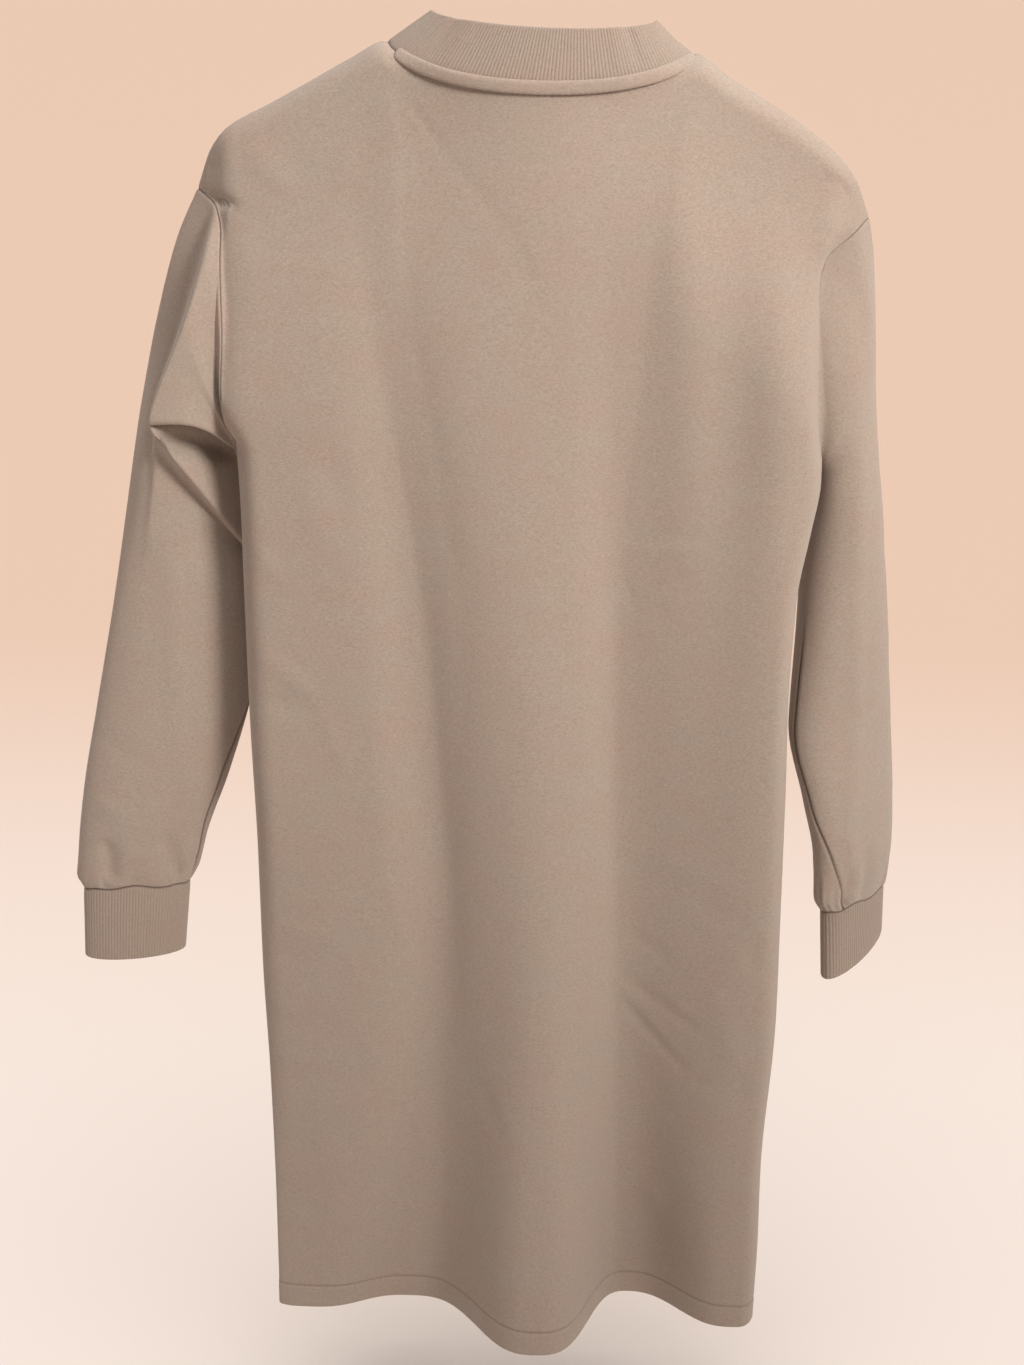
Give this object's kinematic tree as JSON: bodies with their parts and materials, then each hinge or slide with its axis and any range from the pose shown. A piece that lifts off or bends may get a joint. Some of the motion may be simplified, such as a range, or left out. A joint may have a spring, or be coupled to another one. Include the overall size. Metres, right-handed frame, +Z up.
{
  "type": "sweatshirt dress",
  "caption": "Long-sleeved sweatshirt dress of brushed fleece with dropped shoulders, ribbed stand collar and ribbed cuffs, hung and filled out, straight and knee length.",
  "frame": {"origin": "midway between the two neck points, at the height of the shoulder seams, where the dress is held", "axes": "+Z up, +Y out of the back of the dress, +X towards the wearer's left"},
  "size_m": [0.6061, 0.1397, 0.9839],
  "materials": {
    "fleece": "brushed, matt",
    "rib_knit": "ribbed knit, matt"
  },
  "bodies": {
    "root": {"back_panel": "fleece", "front_panel": "fleece", "left_sleeve": "fleece", "right_sleeve": "fleece", "neck_rib": "rib_knit", "neck_tape": "fleece", "left_cuff": "rib_knit", "right_cuff": "rib_knit"}
  },
  "joints": []
}
